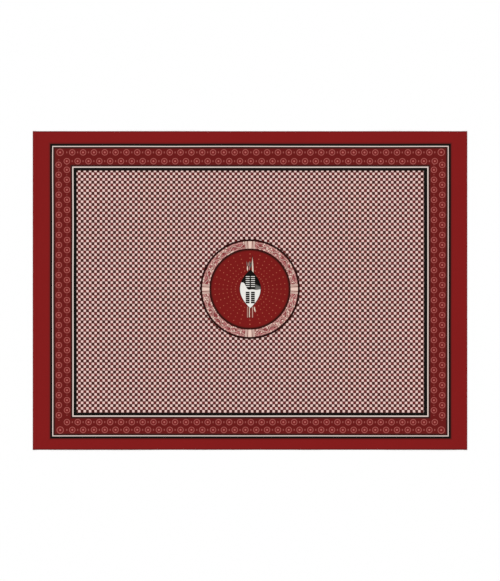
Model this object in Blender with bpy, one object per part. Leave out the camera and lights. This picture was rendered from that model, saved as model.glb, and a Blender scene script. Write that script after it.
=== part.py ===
"""Kanga: one rectangular cotton cloth, laid out flat with its printed face up.

Metres, +Z up. The origin is on the surface under the middle of the cloth,
+X runs along the long sides and +Y points to the top edge of the print.
The long sides are woven selvedges. Each short end is turned under twice
and sewn, so the cloth stands a little higher there. The underside is flat.
"""

import math

import bpy
from mathutils import Matrix

# Driving dimensions of the finished cloth
CLOTH_LENGTH = 1.500
CLOTH_WIDTH = 1.100
CLOTH_THICKNESS = 0.0010

# The hem on each short end, which is part of the same cloth
HEM_WIDTH = 0.010
HEM_THICKNESS = 0.0018
HEM_SLOPE = 0.0020
FOLD_STEPS = 6

# Finish: the mean of the red, white and black print, as linear colour
CLOTH_COLOUR = (0.267, 0.082, 0.072, 1.0)
CLOTH_ROUGHNESS = 0.88

COLLECTION_NAME = "kanga"
CLOTH_NAME = "kanga_cloth"


def clear_scene():
    """Remove the objects that the file opened with."""
    for thing in list(bpy.data.objects):
        bpy.data.objects.remove(thing, do_unlink=True)


def make_collection(name):
    """Make the collection that holds the parts."""
    collection = bpy.data.collections.new(name)
    bpy.context.scene.collection.children.link(collection)
    return collection


def cotton_material():
    """Matt printed cotton."""
    material = bpy.data.materials.new("printed_cotton")
    material.use_nodes = True
    shader = material.node_tree.nodes["Principled BSDF"]
    shader.inputs["Base Color"].default_value = CLOTH_COLOUR
    shader.inputs["Roughness"].default_value = CLOTH_ROUGHNESS
    shader.inputs["Metallic"].default_value = 0.0
    return material


def hemmed_end():
    """Section of the +X end, as (along, up) points from the underside to the top.

    The outermost fold is a half round as thick as the hem. The hem's top is
    level, and slopes down to the single cloth at its inner edge.
    """
    radius = HEM_THICKNESS / 2
    centre = CLOTH_LENGTH / 2 - radius
    points = []
    for step in range(FOLD_STEPS + 1):
        angle = -math.pi / 2 + math.pi * step / FOLD_STEPS
        points.append((centre + radius * math.cos(angle), radius + radius * math.sin(angle)))
    hem_edge = CLOTH_LENGTH / 2 - HEM_WIDTH
    points.append((hem_edge, HEM_THICKNESS))
    points.append((hem_edge - HEM_SLOPE, CLOTH_THICKNESS))
    return points


def cloth_section():
    """Closed section of the whole cloth, seen along its width."""
    right = hemmed_end()
    left = [(-along, up) for along, up in reversed(right)]
    return right + left


def make_cloth(collection):
    """Run the section along the cloth's width, from selvedge to selvedge."""
    curve = bpy.data.curves.new(CLOTH_NAME, "CURVE")
    curve.dimensions = "2D"
    curve.fill_mode = "BOTH"
    curve.extrude = CLOTH_WIDTH / 2
    section = cloth_section()
    spline = curve.splines.new("POLY")
    spline.points.add(len(section) - 1)
    for point, (along, up) in zip(spline.points, section):
        point.co = (along, up, 0.0, 1.0)
    spline.use_cyclic_u = True
    curve.materials.append(cotton_material())
    cloth = bpy.data.objects.new(CLOTH_NAME, curve)
    cloth.matrix_world = Matrix.Rotation(math.pi / 2, 4, "X")
    collection.objects.link(cloth)
    return cloth


def main():
    clear_scene()
    collection = make_collection(COLLECTION_NAME)
    make_cloth(collection)


main()
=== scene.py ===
"""Kanga: the finished look of one printed cotton cloth, laid out flat with its face up.

The cloth is one sheet of plain-weave cotton. Its short ends are turned under
twice and sewn. The print is drawn by its materials: a plain red margin, a
border of ringed dots between two white frames, a fine field of checks, and a
round medallion with a hide shield. Sizes of the cloth are in metres, and the
sizes of the print are in millimetres from the middle of the cloth.
"""

import math

import bmesh
import bpy
from bpy.props import FloatProperty, FloatVectorProperty, PointerProperty
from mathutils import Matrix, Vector, noise


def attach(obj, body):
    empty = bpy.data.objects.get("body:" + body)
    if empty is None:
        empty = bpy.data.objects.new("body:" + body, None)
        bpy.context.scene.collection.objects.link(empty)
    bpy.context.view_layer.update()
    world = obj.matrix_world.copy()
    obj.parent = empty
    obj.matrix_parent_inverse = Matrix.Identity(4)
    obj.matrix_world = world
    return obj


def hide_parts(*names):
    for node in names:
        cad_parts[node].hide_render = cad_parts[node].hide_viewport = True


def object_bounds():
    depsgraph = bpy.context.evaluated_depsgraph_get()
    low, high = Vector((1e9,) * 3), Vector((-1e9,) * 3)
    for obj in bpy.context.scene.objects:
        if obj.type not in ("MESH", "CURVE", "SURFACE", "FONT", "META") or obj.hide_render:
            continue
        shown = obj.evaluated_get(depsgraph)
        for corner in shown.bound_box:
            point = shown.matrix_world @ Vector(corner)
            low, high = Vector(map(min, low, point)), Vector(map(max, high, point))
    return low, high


bl_info = {
    "name": "Kanga cloth",
    "version": (1, 0, 0),
    "blender": (4, 5, 0),
    "location": "3D View > Sidebar > Kanga",
    "description": "Lays out a printed cotton cloth with sewn hems",
    "category": "Object",
}

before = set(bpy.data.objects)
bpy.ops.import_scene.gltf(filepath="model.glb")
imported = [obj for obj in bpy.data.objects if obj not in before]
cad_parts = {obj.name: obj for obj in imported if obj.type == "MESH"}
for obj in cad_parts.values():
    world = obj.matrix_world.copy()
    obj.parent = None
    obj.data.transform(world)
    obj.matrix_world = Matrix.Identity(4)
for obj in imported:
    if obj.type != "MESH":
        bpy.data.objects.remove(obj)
cad_low, cad_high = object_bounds()

CLOTH_NODE = "kanga_cloth"
BODY = "root"
CLOTH_LENGTH = cad_high.x - cad_low.x
CLOTH_WIDTH = cad_high.y - cad_low.y

# Grid of the sheet: its steps along the cloth and in the hems, and how each fold is rounded
COLUMN_STEP = 0.012
ROW_STEP = 0.0055
HEM_TOP_STEP = 0.002
HEM_INNER_STEP = 0.003
FOLD_STEPS = 6
SLOPE_STEPS = 6
RAW_EDGE_GAP = 0.0008

# Camera: the photograph is 581 pixels high, and one of its pixels is this much cloth
PHOTO_HEIGHT = 581
PIXEL_SIZE = 0.0034532
SENSOR_WIDTH = 36.0
LENS = 100.0

# Millimetres in a metre, and a distance beyond everything in the print
MM = 1000.0
FAR = 1000.0


def srgb(red, green, blue):
    """A colour given as 0 to 255, as the linear colour that Blender uses."""
    def linear(value):
        share = value / 255
        return share / 12.92 if share <= 0.04045 else ((share + 0.055) / 1.055) ** 2.4
    return (linear(red), linear(green), linear(blue), 1.0)


def length(name, default, description):
    """A property for a size of the cloth, in metres."""
    return FloatProperty(
        name=name, description=description, default=default, min=0.0, precision=5, unit="LENGTH"
    )


def ink(name, default, description):
    """A property for a colour of the print or the cloth."""
    return FloatVectorProperty(
        name=name, description=description, default=default, size=4, min=0.0, max=1.0, subtype="COLOR"
    )


class KangaSizes(bpy.types.PropertyGroup):
    """Sizes of the cloth, its hems and its sewing."""

    thickness: length("Cloth thickness", 0.00045, "Thickness of the single cloth")
    layer_gap: length("Gap between layers", 0.0001, "Air between the layers of a hem")
    hem_width: length("Hem width", 0.010, "Width of the double turn on each short end")
    hem_slope: length("Hem slope", 0.0045, "Run over which the cloth rises onto its hem")
    hem_lift: length("Hem lift", 0.0002, "Height of the hem's underside, which rests on its stitches")
    wave_height: length("Wave height", 0.0022, "Height of the softest waves of the cloth as it lies")
    pucker: length("Pucker", 0.00012, "Height of the small gathers beside the sewing")
    stitch_inset: length("Stitch inset", 0.0018, "Distance of the sewing from the hem's inner edge")
    stitch_length: length("Stitch length", 0.0023, "Length of one stitch")
    stitch_pitch: length("Stitch pitch", 0.0028, "Distance from one stitch to the next")
    thread: length("Thread thickness", 0.00034, "Thickness of the sewing thread")


class KangaColours(bpy.types.PropertyGroup):
    """Inks of the print, and the plain cotton and thread."""

    red: ink("Red", srgb(128, 20, 20), "The margin's red")
    disc_red: ink("Disc red", srgb(120, 19, 17), "Ground of the medallion's disc")
    border_red: ink("Border red", srgb(103, 20, 18), "Ground of the ring-dot border")
    ring_red: ink("Ring red", srgb(117, 31, 30), "Red inside the rings")
    check_red: ink("Check red", srgb(100, 37, 35), "Red checks of the field")
    check_black: ink("Check black", srgb(69, 28, 24), "Black checks of the field")
    black: ink("Black", srgb(10, 7, 4), "Black lines of the frames and the shield")
    ring_black: ink("Ring black", srgb(36, 6, 1), "The two lines round the medallion")
    brown: ink("Brown", srgb(52, 22, 19), "Thin dark lines beside the white frames")
    white: ink("White", srgb(222, 206, 198), "White lines of the frames")
    check_white: ink("Check white", srgb(233, 200, 193), "White checks of the field")
    ring_pink: ink("Ring pink", srgb(170, 92, 86), "Rings of the border")
    dot_pink: ink("Dot pink", srgb(186, 103, 97), "Dots inside the rings")
    cream: ink("Cream", srgb(232, 200, 186), "Light lines and leaves of the medallion's band")
    berry: ink("Berry", srgb(134, 46, 50), "Dark leaves of the medallion's band")
    rose: ink("Rose", srgb(188, 114, 114), "Rose leaves of the medallion's band")
    taupe: ink("Taupe", srgb(112, 62, 58), "Dark edges in the medallion's band")
    dusk: ink("Dusk", srgb(150, 86, 86), "Ground of the medallion's band")
    hide_white: ink("Hide white", srgb(232, 230, 224), "Light half of the shield")
    hide_grey: ink("Hide grey", srgb(116, 116, 112), "Grey patch of the shield")
    bone: ink("Bone", srgb(226, 208, 190), "Spear blade, staff and tassel")
    dot_tan: ink("Dot tan", srgb(176, 90, 70), "Small dots of the medallion's disc")
    wood: ink("Wood", srgb(196, 148, 134), "Shafts behind the shield")
    cotton: ink("Cotton", srgb(206, 188, 180), "Unprinted cotton, which shows through on the back")
    thread: ink("Thread", srgb(160, 44, 42), "Sewing thread of the hems")


class Wire:
    """An output socket of a node tree. Sums with it add Math nodes to the tree."""

    def __init__(self, tree, socket=None):
        self.tree = tree
        self.socket = socket

    def node(self, kind, settings=None, values=None, output=0):
        """Add a node of this kind: first its settings, then the values or wires of its sockets."""
        made = self.tree.nodes.new(kind)
        for name, value in (settings or {}).items():
            if name == "stops":
                set_stops(made.color_ramp, value)
            else:
                setattr(made, name, value)
        for key, value in (values or {}).items():
            if isinstance(value, Wire):
                self.tree.links.new(value.socket, made.inputs[key])
            else:
                made.inputs[key].default_value = value
        return Wire(self.tree, made.outputs[output])

    def math(self, operation, *values, clamp=False):
        """One Math node, with this wire as its first value."""
        settings = {"operation": operation, "use_clamp": clamp}
        return self.node("ShaderNodeMath", settings, dict(enumerate((self, *values))))

    def __add__(self, other):
        return self.math("ADD", other)

    __radd__ = __add__

    def __sub__(self, other):
        return self.math("SUBTRACT", other)

    def __rsub__(self, other):
        return self.math("MULTIPLY_ADD", -1.0, other)

    def __mul__(self, other):
        return self.math("MULTIPLY", other)

    __rmul__ = __mul__

    def __truediv__(self, other):
        return self.math("DIVIDE", other)

    def __abs__(self):
        return self.math("ABSOLUTE")


def set_stops(ramp, stops):
    """Give a colour ramp these (position, grey) stops."""
    while len(ramp.elements) < len(stops):
        ramp.elements.new(1.0)
    for element, (position, grey) in zip(ramp.elements, stops):
        element.position = position
        element.color = (grey, grey, grey, 1.0)


def least(first, *others):
    """The smallest of several wires."""
    for other in others:
        first = first.math("MINIMUM", other)
    return first


def most(first, *others):
    """The largest of several wires."""
    for other in others:
        first = first.math("MAXIMUM", other)
    return first


def hypotenuse(across, up):
    """The distance from the origin of a point with these two coordinates."""
    point = across.node("ShaderNodeCombineXYZ", None, {0: across, 1: up})
    return across.node("ShaderNodeVectorMath", {"operation": "LENGTH"}, {0: point}, "Value")


def repeat_distance(value, pitch):
    """The distance from the nearest whole multiple of pitch."""
    return value.math("PINGPONG", pitch / 2)


def inside(distance, blur=0.5):
    """1 where distance is under 0, 0 where it is over, with an edge as soft as blur."""
    return distance.math("MULTIPLY_ADD", -1 / blur, 0.5, clamp=True)


def chosen(mask, yes, no):
    """yes where mask is 1, and no where it is 0."""
    return mask.node("ShaderNodeMix", {"data_type": "FLOAT"}, {0: mask, 2: no, 3: yes})


def painted(mask, over, under):
    """The colour over where mask is 1, and the colour under where it is 0."""
    return mask.node("ShaderNodeMix", {"data_type": "RGBA"}, {0: mask, 6: under, 7: over}, 2)


def layered(ground, layers):
    """Lay each colour over the ones before it, where its mask is 1."""
    for mask, colour in layers:
        ground = painted(mask, colour, ground)
    return ground


def noisy(place, scale, detail):
    """Smooth noise from 0 to 1 over a place, with scale waves in each unit."""
    values = {"Vector": place, "Scale": scale, "Detail": detail, "Roughness": 0.5}
    return place.node("ShaderNodeTexNoise", None, values, 0)


def stretched(place, factors):
    """A place with each coordinate made longer or shorter."""
    return place.node("ShaderNodeVectorMath", {"operation": "MULTIPLY"}, {0: place, 1: factors})


def scaled_colour(colour, factor):
    """A colour made lighter or darker by a wire."""
    shade = factor.node("ShaderNodeCombineXYZ", None, {0: factor, 1: factor, 2: factor})
    return factor.node("ShaderNodeVectorMath", {"operation": "MULTIPLY"}, {0: colour, 1: shade})


def box_distance(x, y, centre, half):
    """Signed distance to a rectangle's edge, under 0 inside it."""
    return most(abs(x - centre[0]) - half[0], abs(y - centre[1]) - half[1])


def leaf_distance(x, y, half_width, half_height):
    """Signed distance to the edge of an upright pointed oval, under 0 inside it."""
    radius = (half_height**2 + half_width**2) / (2 * half_width)
    return hypotenuse(abs(x) + (radius - half_width), y) - radius


# The frames: each is measured from the middle of its white line
OUTER_CENTRE = (1.7, -2.1)
OUTER_HALF = (682.6, 499.8)
OUTER_WHITE = 3.2
OUTER_BLACK = 7.4
INNER_CENTRE = (1.6, -4.0)
INNER_HALF = (612.8, 429.7)
INNER_WHITE = 4.0
SHADE_LINE = 6.0
SHADE_BLUR = 5.0
RIM_LINE = 3.0
RIM_BLUR = 7.0
RIM_STRENGTH = 0.6

# The ring-dot border: two rows of rings run round all four sides, each measured from a frame
RING_INSET = 20.8
RING_PITCH = (37.36, 34.57)
RING_MIDDLE = (3.0, 1.7)
RING_RADIUS = 9.7
RING_LINE = 2.0
RING_DOT = 2.9

# A row's turn is the height at which the two ends begin, and its reach is how far its rings go
OUTER_ROW = {
    "frame": (OUTER_CENTRE, OUTER_HALF), "side": -1, "shift": 0.5, "turn": 455.0, "reach": (639.0, 454.0),
}
INNER_ROW = {
    "frame": (INNER_CENTRE, INNER_HALF), "side": 1, "shift": 0.0, "turn": 439.6, "reach": (650.0, 436.0),
}

# The larger ring of each corner, and the small dashes between the rings
CORNER_CENTRE = (2.5, -2.3)
CORNER_HALF = (657.8, 479.4)
CORNER_GROWTH = 1.6
DASH_HALF = (1.8, 3.4)
DASH_LOSS_ON_ENDS = 0.35
DASH_STRENGTH = 0.8

# The field of checks: the inks spread a little over each white check, more in some places than others
FIELD_CENTRE = (1.0, -4.2)
FIELD_HALF = (599.4, 417.8)
CHECK_SPREAD = 0.52
SPREAD_CHANGE = 1.6
SPREAD_SIZE = 9.0
CHECK_FIRST = (-598.4, 412.4)
CHECK_PITCH = (9.317, 9.641)

# The medallion
MEDALLION_CENTRE = (0.0, 4.9)
MEDALLION_EDGE = 172.1
BAND_EDGE = 165.2
BAND_HOLE = 140.05
DISC_EDGE = 133.2
DISC_BLUR = 7.0
BAND_RADIUS = (BAND_EDGE + BAND_HOLE) / 2
QUARTER_ARC = BAND_RADIUS * math.pi / 2

# The band: a barred clasp at each quarter, and between them a vine over small scattered leaves
CLASP_HALF = 16.5
CLASP_BARS = ((0.0, 6.0), (10.4, 1.2), (14.5, 1.3))
CLASP_EDGE = 1.1
VINE_WAVES = 2.5
VINE_HALF_WAVE = (QUARTER_ARC / 2 - CLASP_HALF) / VINE_WAVES / 2
VINE_SWING = 5.4
VINE_LINE = 1.6
VINE_EDGE = 0.9
SCALLOP_LINE = 10.4
SCALLOP_DEPTH = 1.9
SCALLOP_HALF_LINE = 1.0
SCALLOP_STRENGTH = 0.55
LEAF_SPACING = (7.4, 7.0)
LEAF_HALF = (2.3, 4.3)
LEAF_EDGE = 0.8
LEAF_SCATTER = 0.8
PICK_BLUR = 0.01
CREAM_LEAVES = 0.30
BERRY_LEAVES = 0.26

# The disc's dots: rings of them on spokes, with the spokes' angles from upright
DOT_RING = 121.5
DOT_RING_STEP = 14.1
DOT_RADIUS = 1.7
DOT_REACH = (44.0, 126.0)
DOT_STRENGTH = 0.9
DOT_CHANGE = 1.8
DOT_CHANGE_SIZE = 7.0
SPOKE_ANGLES = (0.0, 16.5, 27.6, 38.0, 46.8, 58.0, 70.0, 81.0, 90.0)

# The shield, and the things that stand behind it
SHIELD_MIDDLE = (1.0, 0.8)
SHIELD_HALF = (36.8, 67.5)
SHIELD_EDGE = 1.2
SHIELD_SLOPE = 0.8

# The light hide's upper edge: it drops from left to right in one soft step with a small ripple
HIDE_LEVEL = 10.0
HIDE_DROP = 12.6
HIDE_STEP = -16.0
HIDE_STEP_RUN = 6.4
HIDE_RIPPLE = 0.22
HIDE_SLOPE = 0.7

# The grey patch: right of side, and under a line that falls from top as it goes right
PATCH = {"side": 17.0, "top": 14.0, "fall": 0.5, "from": 20.0, "blur": 6.0, "strength": 0.8}

# Leaning pointed ovals: a point on the lean's line, the lean, the middle's height, and the half size
FEATHER_FOOT = 70.0
FEATHERS = (
    (-6.4, -0.06, 80.0, (1.7, 16.0), "black"),
    (-0.8, 0.12, 80.0, (1.7, 15.0), "black"),
    (-9.0, -0.16, 84.0, (1.2, 12.0), "hide_grey"),
    (-3.6, 0.06, 86.0, (1.3, 12.0), "hide_grey"),
    (-6.4, -0.04, 85.0, (0.9, 9.0), "wood"),
    (0.2, 0.18, 84.0, (1.4, 12.0), "hide_grey"),
    (-9.8, -0.04, 70.5, (2.1, 9.0), "bone"),
    (-3.4, 0.04, 71.0, (1.7, 8.0), "rose"),
)
SPEAR = ((8.0, 80.0), -0.03, 57.0, (2.5, 53.0))
SPEAR_EDGE = 0.9
TASSEL = ((15.4, -71.0), -0.2, -71.0, (2.2, 10.0))

# Shafts under the shield, each a box of a middle and a half size
MIDDLE_SHAFT = ((-2.9, -79.5), (1.3, 18.5))
LEFT_SHAFT = ((-9.6, -80.0), (1.1, 19.0))
RIGHT_SHAFT = ((7.9, -80.0), (1.5, 19.0))
SHAFT_EDGE = 1.0

# The lacing: two columns of bars in the upper half, and two in the lower
LACE_COLUMN = 9.0
LACE_HALF_WIDTH = 6.7
LACE_UPPER = {"middle": 25.4, "pitch": 6.91, "half": 19.4, "bar": 2.3}
LACE_LOWER = {"middle": -29.9, "pitch": 6.91, "half": 20.0, "bar": 5.75}


def ring_row(x, y, row):
    """Distance from the nearest ring of a row, and from the middle of the nearest gap."""
    centre, half = row["frame"]
    from_middle = abs(x - RING_MIDDLE[0]), abs(y - RING_MIDDLE[1])
    on_ends = abs(y - centre[1]).math("LESS_THAN", row["turn"])
    pitch = chosen(on_ends, RING_PITCH[1], RING_PITCH[0])
    run = chosen(on_ends, y - RING_MIDDLE[1], x - RING_MIDDLE[0])
    along = repeat_distance(run / pitch + row["shift"], 1.0) * pitch
    inset = row["side"] * RING_INSET
    across = chosen(on_ends, abs(x - centre[0]) - half[0], abs(y - centre[1]) - half[1]) - inset
    past = chosen(on_ends, from_middle[1] - row["reach"][1], from_middle[0] - row["reach"][0])
    past_end = FAR * past.math("GREATER_THAN", 0.0)
    ring = hypotenuse(along, across) + past_end
    gap = hypotenuse((0.5 * pitch - along) / DASH_HALF[0], across / DASH_HALF[1])
    return ring, gap + past_end + DASH_LOSS_ON_ENDS * on_ends


def border_layers(x, y, inks):
    """The rings, their dots and the small dashes between them."""
    outer_ring, outer_gap = ring_row(x, y, OUTER_ROW)
    inner_ring, inner_gap = ring_row(x, y, INNER_ROW)
    corner_x = abs(x - CORNER_CENTRE[0]) - CORNER_HALF[0]
    corner_y = abs(y - CORNER_CENTRE[1]) - CORNER_HALF[1]
    corner = hypotenuse(corner_x, corner_y)
    ring = least(outer_ring, inner_ring)
    line = least(abs(ring - RING_RADIUS), abs(corner - (RING_RADIUS + CORNER_GROWTH))) - RING_LINE / 2
    dot = least(ring, corner) - RING_DOT
    dash = least(outer_gap, inner_gap) - 1.0
    fill = least(ring - RING_RADIUS, corner - RING_RADIUS - CORNER_GROWTH)
    return [
        (inside(dash) * DASH_STRENGTH, inks.ring_pink),
        (inside(fill), inks.ring_red),
        (inside(line), inks.ring_pink),
        (inside(dot), inks.dot_pink),
    ]


def check_colour(x, y, inks):
    """A field of white checks, with black and red ones in turn by rows between them."""
    across = (x - CHECK_FIRST[0]) / CHECK_PITCH[0]
    down = (CHECK_FIRST[1] - y) / CHECK_PITCH[1]
    row = (down + 0.5).math("FLOOR")
    column = (across + 0.5).math("FLOOR")
    aside = repeat_distance(across, 1.0) * CHECK_PITCH[0]
    above = repeat_distance(down, 1.0) * CHECK_PITCH[1]
    from_middle = most(aside, above)
    spot = x.node("ShaderNodeCombineXYZ", None, {0: x, 1: y})
    spread = CHECK_SPREAD + SPREAD_CHANGE * (noisy(spot, 1 / SPREAD_SIZE, 1.0) - 0.5)
    is_white = (column + row).math("PINGPONG", 1.0) * inside(from_middle + spread - CHECK_PITCH[0] / 2)
    is_red = row.math("PINGPONG", 1.0)
    return layered(inks.check_black, [(is_red, inks.check_red), (is_white, inks.check_white)])


def scattered_leaves(arc_length, out, inks):
    """Small leaves of three colours, each turned its own way and edged in a dark line."""
    spot = out.node("ShaderNodeCombineXYZ", None, {0: arc_length, 1: out})
    spot = stretched(spot, (1 / LEAF_SPACING[0], 1 / LEAF_SPACING[1], 1.0))
    values = {"Vector": spot, "Scale": 1.0, "Randomness": LEAF_SCATTER}
    heart = out.node("ShaderNodeTexVoronoi", {"voronoi_dimensions": "2D"}, values, "Position")
    kind = out.node("ShaderNodeTexVoronoi", {"voronoi_dimensions": "2D"}, values, "Color")
    pick = out.node("ShaderNodeSeparateColor", None, {0: kind}, 0)
    angle = out.node("ShaderNodeSeparateColor", None, {0: kind}, 1) * math.tau
    local = out.node("ShaderNodeVectorMath", {"operation": "SUBTRACT"}, {0: spot, 1: heart})
    local = stretched(local, (LEAF_SPACING[0], LEAF_SPACING[1], 0.0))
    turned = {"Vector": local, "Angle": angle}
    local = out.node("ShaderNodeVectorRotate", {"rotation_type": "Z_AXIS"}, turned)
    aside = out.node("ShaderNodeSeparateXYZ", None, {0: local}, 0)
    ahead = out.node("ShaderNodeSeparateXYZ", None, {0: local}, 1)
    leaf = leaf_distance(aside, ahead, *LEAF_HALF)
    return [
        (inside(leaf - LEAF_EDGE), inks.taupe),
        (inside(leaf), inks.rose),
        (inside(leaf) * inside(pick - CREAM_LEAVES, PICK_BLUR), inks.cream),
        (inside(leaf) * inside(1 - BERRY_LEAVES - pick, PICK_BLUR), inks.berry),
    ]


def band_colour(x, y, reach, inks):
    """The medallion's band: a vine over small leaves, scalloped edges, and a clasp at each quarter."""
    turn = y.math("ARCTAN2", x) / (math.pi / 2)
    along = repeat_distance(turn, 1.0) * QUARTER_ARC
    out = reach - BAND_RADIUS
    run = along - CLASP_HALF
    wave = (run * (math.pi / VINE_HALF_WAVE)).math("COSINE")
    bow = abs((run * (math.pi / VINE_HALF_WAVE)).math("SINE"))
    vine = abs(out - VINE_SWING * wave) - VINE_LINE / 2
    scallops = abs(abs(out) - SCALLOP_LINE + SCALLOP_DEPTH * bow) - SCALLOP_HALF_LINE
    clasp_bars = least(*(abs(along - place) - half for place, half in CLASP_BARS))
    return layered(inks.dusk, [
        *scattered_leaves(turn * QUARTER_ARC, out, inks),
        (inside(scallops) * SCALLOP_STRENGTH, inks.cream),
        (inside(vine - VINE_EDGE), inks.taupe),
        (inside(vine), inks.cream),
        (inside(along - CLASP_HALF), inks.dusk),
        (inside(clasp_bars - CLASP_EDGE), inks.taupe),
        (inside(clasp_bars), inks.cream),
    ])


def disc_dots(x, y, reach):
    """Strength of the small dots that stand on rings and spokes round the shield."""
    spoke_count = len(SPOKE_ANGLES) - 1
    stops = [(angle / 90, n / spoke_count) for n, angle in enumerate(SPOKE_ANGLES)]
    upright = abs(x).math("ARCTAN2", abs(y)) / (math.pi / 2)
    spoke = upright.node("ShaderNodeValToRGB", {"stops": stops}, {0: upright}) * spoke_count
    aside = repeat_distance(spoke, 1.0) * reach * (math.pi / 2 / spoke_count)
    along = repeat_distance(reach - DOT_RING, DOT_RING_STEP)
    dot = hypotenuse(aside, along) - DOT_RADIUS
    spot = x.node("ShaderNodeCombineXYZ", None, {0: x, 1: y})
    strength = DOT_STRENGTH + DOT_CHANGE * (noisy(spot, 1 / DOT_CHANGE_SIZE, 0.0) - 0.5)
    return inside(most(dot, DOT_REACH[0] - reach, reach - DOT_REACH[1])) * strength


def lacing(x, y, lace):
    """Signed distance to six pairs of level bars, one pair above the other."""
    return most(
        abs(abs(x) - LACE_COLUMN) - LACE_HALF_WIDTH,
        repeat_distance(y - lace["middle"] - lace["pitch"] / 2, lace["pitch"]) - lace["bar"] / 2,
        abs(y - lace["middle"]) - lace["half"],
    )


def leaning_leaf(x, y, foot, lean, middle, half):
    """Signed distance to a pointed oval that leans by so much for each unit of height."""
    return leaf_distance(x - foot[0] - lean * (y - foot[1]), y - middle, *half)


def shield_layers(x, y, inks):
    """A hide shield laced up the middle, with a spear, feathers, shafts and a tassel behind it."""
    x = x - SHIELD_MIDDLE[0]
    y = y - SHIELD_MIDDLE[1]
    half_width, half_height = SHIELD_HALF
    shield = (abs(x) - half_width + (half_width / half_height**2) * y * y) * SHIELD_SLOPE
    middle_shaft = box_distance(x, y, *MIDDLE_SHAFT)
    side_shafts = least(box_distance(x, y, *LEFT_SHAFT), box_distance(x, y, *RIGHT_SHAFT))
    spear = leaning_leaf(x, y, *SPEAR)
    feathers = [
        (inside(leaning_leaf(x, y, (along, FEATHER_FOOT), lean, middle, half)), getattr(inks, colour))
        for along, lean, middle, half, colour in FEATHERS
    ]
    hide_step = ((x - HIDE_STEP) / HIDE_STEP_RUN).math("TANH")
    hide_edge = HIDE_LEVEL - HIDE_DROP * hide_step + (x * HIDE_RIPPLE).math("SINE")
    pale = most(shield + SHIELD_EDGE, (y - hide_edge) * HIDE_SLOPE)
    patch = most(PATCH["side"] - x, y - PATCH["top"] + PATCH["fall"] * (x - PATCH["from"]))
    patch = inside(patch, PATCH["blur"]) * inside(shield + SHIELD_EDGE)
    return [
        (inside(least(middle_shaft, side_shafts) - SHAFT_EDGE), inks.brown),
        (inside(side_shafts), inks.wood),
        (inside(middle_shaft), inks.bone),
        (inside(leaning_leaf(x, y, *TASSEL)), inks.bone),
        *feathers,
        (inside(spear - SPEAR_EDGE), inks.brown),
        (inside(spear), inks.bone),
        (inside(shield), inks.black),
        (patch * PATCH["strength"], inks.hide_grey),
        (inside(pale), inks.hide_white),
        (inside(lacing(x, y, LACE_UPPER)), inks.hide_white),
        (inside(lacing(x, y, LACE_LOWER)), inks.black),
    ]


def medallion_layers(x, y, inks):
    """The round medallion, from its outer ring inwards."""
    reach = hypotenuse(x, y)
    return [
        (inside(reach - MEDALLION_EDGE), inks.ring_black),
        (inside(reach - BAND_EDGE), band_colour(x, y, reach, inks)),
        (inside(reach - BAND_HOLE), inks.ring_black),
        (inside(reach - DISC_EDGE, DISC_BLUR), inks.disc_red),
        (disc_dots(x, y, reach), inks.dot_tan),
        *shield_layers(x, y, inks),
    ]


def print_colour(place, inks):
    """Colour of the whole print at each place of the cloth, in millimetres."""
    x = place.node("ShaderNodeSeparateXYZ", None, {0: place}, 0)
    y = place.node("ShaderNodeSeparateXYZ", None, {0: place}, 1)
    outer = box_distance(x, y, OUTER_CENTRE, OUTER_HALF)
    inner = box_distance(x, y, INNER_CENTRE, INNER_HALF)
    field = box_distance(x, y, FIELD_CENTRE, FIELD_HALF)
    return layered(inks.red, [
        (inside(outer - OUTER_WHITE / 2 - OUTER_BLACK - RIM_LINE, RIM_BLUR) * RIM_STRENGTH, inks.brown),
        (inside(outer - OUTER_WHITE / 2 - OUTER_BLACK), inks.black),
        (inside(outer - OUTER_WHITE / 2), inks.white),
        (inside(outer + OUTER_WHITE / 2), inks.brown),
        (inside(outer + OUTER_WHITE / 2 + SHADE_LINE, SHADE_BLUR), inks.border_red),
        *border_layers(x, y, inks),
        (inside(inner - INNER_WHITE / 2 - SHADE_LINE, SHADE_BLUR), inks.brown),
        (inside(inner - INNER_WHITE / 2), inks.white),
        (inside(inner + INNER_WHITE / 2), inks.black),
        (inside(field), check_colour(x, y, inks)),
        *medallion_layers(x - MEDALLION_CENTRE[0], y - MEDALLION_CENTRE[1], inks),
    ])


# The weave and the selvedge, in millimetres, and their relief, in metres
THREAD_PITCH = 0.5
SELVEDGE_WIDTH = 7.0
RIB_PITCH = 1.0
# Width of the painted shade round the cloth's edges, in millimetres
PAINTED_EDGE_SHADE_WIDTH = 3.0
WEAVE_DEPTH = 0.00005
SLUB_DEPTH = 0.00006

# Thicker threads: how many to a millimetre, and how often one changes along its length
SLUBS_ACROSS = 1.1
SLUBS_ALONG = 0.035

# The print's lines wander by this many millimetres, and the dye is patchy, with so many waves to a metre
SWAY_WAVES = 4.0
SWAY_REACH = 1.2
PATCH_WAVES = 5.0

# How far each of them lightens or darkens the colour
PATCH_SHADE = 0.10
SLUB_SHADE = 0.12
# Painted shade, partly uneven ink: the weave darkens the gaps between its threads, where its bump is lowest
WEAVE_PAINTED_SHADE = 0.08
SELVEDGE_SHADE = 0.05
# Painted shade, partly wear: how much darker the outer edge of the cloth is
PAINTED_EDGE_SHADE = 0.18

COTTON_ROUGHNESS = 0.86
SLUB_ROUGHNESS = 0.08
SHOW_THROUGH = 0.5

# The thread's twist, in waves to a millimetre, and its painted shade: the darkest, in the twist's grooves,
# and the range above it
TWIST_ALONG = 14.0
TWIST_ACROSS = 9.0
THREAD_PAINTED_SHADE = 0.8
TWIST_PAINTED_SHADE = 0.25


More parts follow.
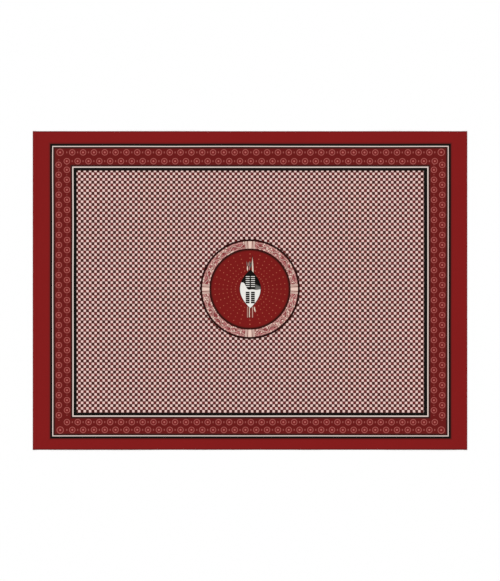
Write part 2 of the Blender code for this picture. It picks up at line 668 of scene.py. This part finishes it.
def cotton_material(name, inks, show_through):
    """Printed plain-weave cotton. show_through is the share of bare cotton in its colour."""
    material = bpy.data.materials.new(name)
    material.use_nodes = True
    tree = material.node_tree
    shader = tree.nodes["Principled BSDF"]
    metres = Wire(tree).node("ShaderNodeTexCoord", None, None, "Object")
    place = metres.node("ShaderNodeVectorMath", {"operation": "SCALE"}, {0: metres, "Scale": MM})

    sway = metres.node("ShaderNodeTexNoise", None, {"Vector": metres, "Scale": SWAY_WAVES, "Detail": 0.0}, 1)
    drift = metres.node("ShaderNodeVectorMath", {"operation": "SUBTRACT"}, {0: sway, 1: (0.5, 0.5, 0.5)})
    drift = metres.node("ShaderNodeVectorMath", {"operation": "SCALE"}, {0: drift, "Scale": SWAY_REACH})
    swayed = metres.node("ShaderNodeVectorMath", {"operation": "ADD"}, {0: place, 1: drift})

    warp_slubs = noisy(stretched(place, (SLUBS_ACROSS, SLUBS_ALONG, 1.0)), 1.0, 1.0)
    weft_slubs = noisy(stretched(place, (SLUBS_ALONG, SLUBS_ACROSS, 1.0)), 1.0, 1.0)
    slubs = warp_slubs + weft_slubs - 1.0
    flat = place.node("ShaderNodeSeparateXYZ", None, {0: place}, 0)
    upright = place.node("ShaderNodeSeparateXYZ", None, {0: place}, 1)
    warp = (flat * (math.pi / THREAD_PITCH)).math("SINE")
    weft = (upright * (math.pi / THREAD_PITCH)).math("SINE")
    over = warp * weft
    weave = most(abs(warp) * (1 + over), abs(weft) * (1 - over)) - 1.0
    patches = noisy(metres, PATCH_WAVES, 2.0) - 0.5
    selvedge = inside(CLOTH_WIDTH * MM / 2 - SELVEDGE_WIDTH - abs(upright), 1.0)
    # Painted shade, partly wear: the cloth is darker within a few millimetres of its edges, on all four
    # sides
    from_edge = least(CLOTH_LENGTH * MM / 2 - abs(flat), CLOTH_WIDTH * MM / 2 - abs(upright))
    edge = inside(from_edge - PAINTED_EDGE_SHADE_WIDTH, PAINTED_EDGE_SHADE_WIDTH)
    ribs = selvedge * (upright * (math.pi / RIB_PITCH)).math("SINE")

    colour = print_colour(swayed, inks)
    # The patches and slubs are the dye's and the threads' own tone; the weave's part is painted shade in the
    # gaps between threads
    shade = 1 + PATCH_SHADE * patches + SLUB_SHADE * slubs + WEAVE_PAINTED_SHADE * weave
    shade = shade - SELVEDGE_SHADE * selvedge - PAINTED_EDGE_SHADE * edge
    colour = scaled_colour(colour, shade)
    if show_through:
        values = {0: show_through, 6: colour, 7: tuple(inks.cotton)}
        colour = place.node("ShaderNodeMix", {"data_type": "RGBA"}, values, 2)
    tree.links.new(colour.socket, shader.inputs["Base Color"])

    roughness = COTTON_ROUGHNESS + SLUB_ROUGHNESS * slubs
    tree.links.new(roughness.socket, shader.inputs["Roughness"])
    height = WEAVE_DEPTH * (weave + ribs) + SLUB_DEPTH * slubs
    bump = height.node("ShaderNodeBump", None, {"Strength": 1.0, "Distance": 1.0, "Height": height})
    tree.links.new(bump.socket, shader.inputs["Normal"])
    shader.inputs["Specular IOR Level"].default_value = 0.12
    shader.inputs["Sheen Weight"].default_value = 0.02
    shader.inputs["Sheen Roughness"].default_value = 0.5
    return material


def thread_material(inks):
    """Twisted sewing thread."""
    material = bpy.data.materials.new("sewing_thread")
    material.use_nodes = True
    tree = material.node_tree
    shader = tree.nodes["Principled BSDF"]
    metres = Wire(tree).node("ShaderNodeTexCoord", None, None, "Object")
    place = metres.node("ShaderNodeVectorMath", {"operation": "SCALE"}, {0: metres, "Scale": MM})
    along = place.node("ShaderNodeSeparateXYZ", None, {0: place}, 1)
    across = place.node("ShaderNodeSeparateXYZ", None, {0: place}, 0)
    twist = ((along * TWIST_ALONG + across * TWIST_ACROSS).math("SINE") + 1) * 0.5
    # Painted shade: where the twist is low, in its grooves, the thread is mixed towards the darker red and
    # scaled down
    colour = painted(twist, tuple(inks.thread), tuple(inks.red))
    colour = scaled_colour(colour, THREAD_PAINTED_SHADE + TWIST_PAINTED_SHADE * twist)
    tree.links.new(colour.socket, shader.inputs["Base Color"])
    bump = twist.node("ShaderNodeBump", None, {"Strength": 0.5, "Distance": 0.00005, "Height": twist})
    tree.links.new(bump.socket, shader.inputs["Normal"])
    shader.inputs["Roughness"].default_value = 0.6
    shader.inputs["Specular IOR Level"].default_value = 0.25
    return material


def arc(centre_x, centre_z, radius, start, end):
    """Points on a fold, from one angle to another in degrees."""
    angles = [math.radians(start + (end - start) * n / FOLD_STEPS) for n in range(FOLD_STEPS + 1)]
    return [(centre_x + radius * math.cos(a), centre_z + radius * math.sin(a)) for a in angles]


def run_of(start, end, height, step):
    """Points of a straight level run, without its last one."""
    count = max(1, round(abs(end - start) / step))
    return [(start + (end - start) * n / count, height) for n in range(count)]


def half_section(sizes):
    """The middle line of the cloth from its centre to the raw edge inside the +X hem, as (x, z)."""
    layer = sizes.thickness + sizes.layer_gap
    bottom = sizes.hem_lift + sizes.thickness / 2
    middle = bottom + layer
    top = middle + layer
    level = sizes.thickness / 2
    hem_edge = CLOTH_LENGTH / 2 - sizes.hem_width
    slope_start = hem_edge - sizes.hem_slope
    outer_radius = (top - bottom) / 2
    inner_radius = (middle - bottom) / 2
    fold_x = CLOTH_LENGTH / 2 - sizes.thickness / 2 - outer_radius
    tuck_x = hem_edge + sizes.thickness / 2 + inner_radius
    points = run_of(0.0, slope_start, level, COLUMN_STEP)
    for n in range(SLOPE_STEPS):
        share = n / SLOPE_STEPS
        ease = share * share * (3 - 2 * share)
        points.append((slope_start + share * sizes.hem_slope, level + (top - level) * ease))
    points += run_of(hem_edge, fold_x, top, HEM_TOP_STEP)
    points += arc(fold_x, (top + bottom) / 2, outer_radius, 90, -90)
    points += run_of(fold_x, tuck_x, bottom, HEM_INNER_STEP)[1:]
    points += arc(tuck_x, (middle + bottom) / 2, inner_radius, 270, 90)
    points += run_of(tuck_x, fold_x - RAW_EDGE_GAP, middle, HEM_INNER_STEP)[1:]
    return points


def section(sizes):
    """The middle line of the whole cloth, from raw edge to raw edge."""
    right = half_section(sizes)
    left = [(-x, z) for x, z in reversed(right[1:])]
    return left + right


# Waves of the cloth: waves to a metre along and across it, and where in the noise they start
BROAD_WAVES = ((2.3, 2.6), (4.1, -1.7, 0.3))
SMALL_WAVES = ((7.0, 7.5), (0.0, 0.0, 5.2))
SELVEDGE_WAVES = ((9.0, 3.0), (0.0, 0.0, 9.4))

# Their shares, and how far in from the selvedges and the ends they reach
SMALL_SHARE = 0.35
FLAT_BELOW = 0.02
BROAD_SHARE = 1.6
SELVEDGE_SHARE = 0.6
SELVEDGE_REACH = 0.035
SETTLED_REACH = 0.05

# The gathers beside the sewing: how closely they follow each other, and where they are
GATHER_RATE = 240
GATHER_SWAY = 2.0
GATHER_SWAY_RATE = 31
GATHER_PLACE = 0.012
GATHER_REACH = 0.014


def waves(x, y, kind):
    """Smooth noise from about -1 to 1 for one kind of wave."""
    (along, across), start = kind
    return noise.noise(Vector((x * along + start[0], y * across + start[1], start[2])))


def lie(x, y, sizes):
    """How far the cloth stands off the surface at a place: flat in most of it, with a few soft waves."""
    broad = max(0.0, waves(x, y, BROAD_WAVES) + SMALL_SHARE * waves(x, y, SMALL_WAVES) - FLAT_BELOW)
    to_selvedge = CLOTH_WIDTH / 2 - abs(y)
    to_end = CLOTH_LENGTH / 2 - abs(x)
    edge = max(0.0, waves(x, y, SELVEDGE_WAVES)) * math.exp(-to_selvedge / SELVEDGE_REACH)
    settled = 1 - math.exp(-((to_end / SETTLED_REACH) ** 2))
    gathers = 0.5 + 0.5 * math.sin(y * GATHER_RATE + GATHER_SWAY * math.sin(y * GATHER_SWAY_RATE))
    gathers = gathers * math.exp(-(((to_end - GATHER_PLACE) / GATHER_REACH) ** 2))
    height = sizes.wave_height * (broad * BROAD_SHARE + SELVEDGE_SHARE * edge) * settled
    return height + sizes.pucker * gathers


def mesh_object(name, mesh):
    """Put a mesh in the scene as an object of that name."""
    made = bpy.data.objects.new(name, mesh)
    bpy.context.scene.collection.objects.link(made)
    return made


def applied(thing):
    """Turn an object's modifiers into plain mesh."""
    evaluated = thing.evaluated_get(bpy.context.evaluated_depsgraph_get())
    mesh = bpy.data.meshes.new_from_object(evaluated)
    thing.modifiers.clear()
    thing.data = mesh
    return thing


# The flat map of the cloth: the sizes of the face and the back on it, and the free strip round them
FACE_SHARE = 0.992
BACK_SHARE = 0.34
MAP_EDGE = 0.004


def open_sheet(sizes):
    """The cloth with no thickness, folded at its ends, with each place's flat position as its UV."""
    line = section(sizes)
    rows = round(CLOTH_WIDTH / ROW_STEP)
    travel = [0.0]
    for (x0, z0), (x1, z1) in zip(line, line[1:]):
        travel.append(travel[-1] + math.hypot(x1 - x0, z1 - z0))
    mesh = bpy.data.meshes.new("printed_cloth")
    build = bmesh.new()
    grid = []
    for row in range(rows + 1):
        y = CLOTH_WIDTH * (row / rows - 0.5)
        grid.append([build.verts.new((x, y, z + lie(x, y, sizes))) for x, z in line])
    flat_map = build.loops.layers.uv.new("OFBake")
    scale = FACE_SHARE / travel[-1]
    for row in range(rows):
        for column in range(len(line) - 1):
            corners = ((row, column), (row, column + 1), (row + 1, column + 1), (row + 1, column))
            face = build.faces.new([grid[r][c] for r, c in corners])
            face.smooth = True
            for loop, (r, c) in zip(face.loops, corners):
                up = r * CLOTH_WIDTH / rows
                loop[flat_map].uv = (MAP_EDGE + travel[c] * scale, MAP_EDGE + up * scale)
    build.to_mesh(mesh)
    build.free()
    return mesh


def shrink_back_map(mesh, face_height):
    """Give the back of the cloth its own small place on the map, above the printed face."""
    uvs = mesh.uv_layers["OFBake"].data
    for polygon in mesh.polygons:
        if polygon.material_index == 1:
            for loop in polygon.loop_indices:
                u, v = uvs[loop].uv
                uvs[loop].uv = (MAP_EDGE + u * BACK_SHARE, face_height + 2 * MAP_EDGE + v * BACK_SHARE)


class KANGA_OT_lay_cloth(bpy.types.Operator):
    """Make the printed cloth, folded under at its two hems and lying on the surface"""

    bl_idname = "kanga.lay_cloth"
    bl_label = "Lay the cloth"

    def execute(self, context):
        sizes, inks = context.scene.kanga_sizes, context.scene.kanga_colours
        cloth = mesh_object("printed_cloth", open_sheet(sizes))
        cloth.data.materials.append(cotton_material("printed_face", inks, 0.0))
        cloth.data.materials.append(cotton_material("printed_back", inks, SHOW_THROUGH))
        shell = cloth.modifiers.new("thickness", "SOLIDIFY")
        shell.thickness = sizes.thickness
        shell.offset = 0.0
        shell.material_offset = 1
        applied(cloth)
        shrink_back_map(cloth.data, FACE_SHARE * CLOTH_WIDTH / CLOTH_LENGTH)
        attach(cloth, BODY)
        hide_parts(CLOTH_NODE)
        return {"FINISHED"}


# The sewing: where the rays that find the cloth start, and the shape and turn of one stitch
RAY_START = 0.1
RAY_LENGTH = 0.2
STITCH_SEGMENTS = 6
STITCH_RINGS = 5
STITCH_TURN = 0.06
SEWING_SEED = 7


def stitch_tree():
    """Geometry Nodes: lay a row of stitches along each hem, above and below the cloth."""
    tree = bpy.data.node_groups.new("hem_stitches", "GeometryNodeTree")
    face = tree.interface
    for name, kind in (
        ("Cloth", "NodeSocketObject"),
        ("Line Place", "NodeSocketFloat"),
        ("Run", "NodeSocketFloat"),
        ("Pitch", "NodeSocketFloat"),
        ("Stitch Length", "NodeSocketFloat"),
        ("Thread", "NodeSocketFloat"),
        ("Seed", "NodeSocketInt"),
        ("Material", "NodeSocketMaterial"),
    ):
        face.new_socket(name, in_out="INPUT", socket_type=kind)
    face.new_socket("Stitches", in_out="OUTPUT", socket_type="NodeSocketGeometry")
    given = tree.nodes.new("NodeGroupInput")
    value = {socket.name: Wire(tree, socket) for socket in given.outputs if socket.name}
    make = value["Run"].node
    count = (value["Run"] / value["Pitch"]).math("FLOOR")
    relative = {"transform_space": "RELATIVE"}
    cloth = make("GeometryNodeObjectInfo", relative, {"Object": value["Cloth"]}, "Geometry")
    ball = make("GeometryNodeMeshUVSphere", None, {
        "Segments": STITCH_SEGMENTS, "Rings": STITCH_RINGS, "Radius": 0.5,
    }, "Mesh")
    shape = make("ShaderNodeCombineXYZ", None, {
        0: value["Thread"], 1: value["Stitch Length"], 2: value["Thread"],
    })
    joined = tree.nodes.new("GeometryNodeJoinGeometry")
    for side in (-1, 1):
        for up in (-1, 1):
            start = make("ShaderNodeCombineXYZ", None, {
                0: value["Line Place"] * side, 1: value["Run"] * -0.5, 2: RAY_START * up,
            })
            step = make("ShaderNodeCombineXYZ", None, {1: value["Pitch"]})
            line = make("GeometryNodeMeshLine", None, {
                "Count": count, "Start Location": start, "Offset": step,
            }, "Mesh")
            hit = make("GeometryNodeRaycast", None, {
                "Target Geometry": cloth, "Ray Direction": (0.0, 0.0, -up), "Ray Length": RAY_LENGTH,
            }, "Hit Position")
            laid = make("GeometryNodeSetPosition", None, {"Geometry": line, "Position": hit}, "Geometry")
            spin = make("FunctionNodeRandomValue", {"data_type": "FLOAT"}, {
                "Min": -STITCH_TURN, "Max": STITCH_TURN, "Seed": value["Seed"],
            }, "Value")
            turn = make("ShaderNodeCombineXYZ", None, {2: spin})
            stitches = make("GeometryNodeInstanceOnPoints", None, {
                "Points": laid, "Instance": ball, "Rotation": turn, "Scale": shape,
            }, "Instances")
            tree.links.new(stitches.socket, joined.inputs[0])
    plain = make("GeometryNodeRealizeInstances", None, {0: Wire(tree, joined.outputs[0])})
    smooth = make("GeometryNodeSetShadeSmooth", None, {0: plain})
    coloured = make("GeometryNodeSetMaterial", None, {"Geometry": smooth, "Material": value["Material"]})
    tree.links.new(coloured.socket, tree.nodes.new("NodeGroupOutput").inputs[0])
    return tree


def set_inputs(modifier, values):
    """Set a Geometry Nodes modifier's inputs by the names of their sockets."""
    for item in modifier.node_group.interface.items_tree:
        if item.in_out == "INPUT" and item.name in values:
            modifier[item.identifier] = values[item.name]


class KANGA_OT_sew_hems(bpy.types.Operator):
    """Sew both hems with a row of stitches that shows above and below"""

    bl_idname = "kanga.sew_hems"
    bl_label = "Sew the hems"

    def execute(self, context):
        sizes, inks = context.scene.kanga_sizes, context.scene.kanga_colours
        cloth = bpy.data.objects["printed_cloth"]
        stitches = mesh_object("hem_stitches", bpy.data.meshes.new("hem_stitches"))
        sewing = stitches.modifiers.new("sewing", "NODES")
        sewing.node_group = stitch_tree()
        set_inputs(sewing, {
            "Cloth": cloth,
            "Line Place": CLOTH_LENGTH / 2 - sizes.hem_width + sizes.stitch_inset,
            "Run": CLOTH_WIDTH - 2 * sizes.stitch_pitch,
            "Pitch": sizes.stitch_pitch,
            "Stitch Length": sizes.stitch_length,
            "Thread": sizes.thread,
            "Seed": SEWING_SEED,
            "Material": thread_material(inks),
        })
        applied(stitches)
        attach(stitches, BODY)
        return {"FINISHED"}


# The stage: the floor's half size, the strength of the light, and the lamp's width and turn in degrees
FLOOR_SIZE = 12.0
FLOOR_COLOUR = (0.96, 0.96, 0.96, 1.0)
SKY_STRENGTH = 0.72
LAMP_STRENGTH = 1.25
LAMP_WIDTH = 28
LAMP_TURN = (-28, -24)


class KANGA_OT_set_stage(bpy.types.Operator):
    """Make the pale floor, the soft studio light and the camera above the cloth"""

    bl_idname = "kanga.set_stage"
    bl_label = "Set the stage"

    def execute(self, context):
        scene = context.scene
        self.make_floor()
        self.make_light(scene)
        self.make_camera(scene)
        scene.view_settings.view_transform = "Standard"
        return {"FINISHED"}

    def make_floor(self):
        """A wide pale floor."""
        mesh = bpy.data.meshes.new("floor")
        build = bmesh.new()
        bmesh.ops.create_grid(build, x_segments=1, y_segments=1, size=FLOOR_SIZE)
        build.to_mesh(mesh)
        build.free()
        floor = mesh_object("floor", mesh)
        material = bpy.data.materials.new("pale_floor")
        material.use_nodes = True
        shader = material.node_tree.nodes["Principled BSDF"]
        shader.inputs["Base Color"].default_value = FLOOR_COLOUR
        shader.inputs["Roughness"].default_value = 0.9
        shader.inputs["Specular IOR Level"].default_value = 0.1
        mesh.materials.append(material)

    def make_light(self, scene):
        """An even white sky and one broad soft lamp."""
        world = bpy.data.worlds.new("studio")
        world.use_nodes = True
        sky = world.node_tree.nodes["Background"]
        sky.inputs["Color"].default_value = (1.0, 1.0, 1.0, 1.0)
        sky.inputs["Strength"].default_value = SKY_STRENGTH
        scene.world = world
        lamp = bpy.data.lights.new("softbox", "SUN")
        lamp.energy = LAMP_STRENGTH
        lamp.angle = math.radians(LAMP_WIDTH)
        softbox = bpy.data.objects.new("softbox", lamp)
        softbox.rotation_euler = (math.radians(LAMP_TURN[0]), math.radians(LAMP_TURN[1]), 0.0)
        scene.collection.objects.link(softbox)

    def make_camera(self, scene):
        """A camera straight above the middle of the cloth."""
        lens = bpy.data.cameras.new("camera")
        lens.sensor_width = SENSOR_WIDTH
        lens.lens = LENS
        camera = bpy.data.objects.new("camera", lens)
        camera.location = (0.0, 0.0, LENS * PHOTO_HEIGHT * PIXEL_SIZE / SENSOR_WIDTH)
        scene.collection.objects.link(camera)
        scene.camera = camera


class KANGA_PT_panel(bpy.types.Panel):
    """Sizes, colours and steps of the kanga"""

    bl_idname = "KANGA_PT_panel"
    bl_label = "Kanga"
    bl_space_type = "VIEW_3D"
    bl_region_type = "UI"
    bl_category = "Kanga"

    def draw(self, context):
        layout = self.layout
        for group in (context.scene.kanga_sizes, context.scene.kanga_colours):
            box = layout.box()
            for name in group.bl_rna.properties.keys():
                if name not in {"rna_type", "name"}:
                    box.prop(group, name)
        for operator in OPERATORS:
            layout.operator(operator.bl_idname)


OPERATORS = (KANGA_OT_lay_cloth, KANGA_OT_sew_hems, KANGA_OT_set_stage)
CLASSES = (KangaSizes, KangaColours, *OPERATORS, KANGA_PT_panel)


def register():
    """Add the classes, and the sizes and colours of a scene."""
    for kind in CLASSES:
        bpy.utils.register_class(kind)
    bpy.types.Scene.kanga_sizes = PointerProperty(type=KangaSizes)
    bpy.types.Scene.kanga_colours = PointerProperty(type=KangaColours)


def unregister():
    """Take them away again."""
    del bpy.types.Scene.kanga_colours
    del bpy.types.Scene.kanga_sizes
    for kind in reversed(CLASSES):
        bpy.utils.unregister_class(kind)


def main():
    """Make the kanga and its stage."""
    register()
    bpy.ops.kanga.lay_cloth()
    bpy.ops.kanga.sew_hems()
    bpy.ops.kanga.set_stage()


if __name__ == "__main__":
    main()
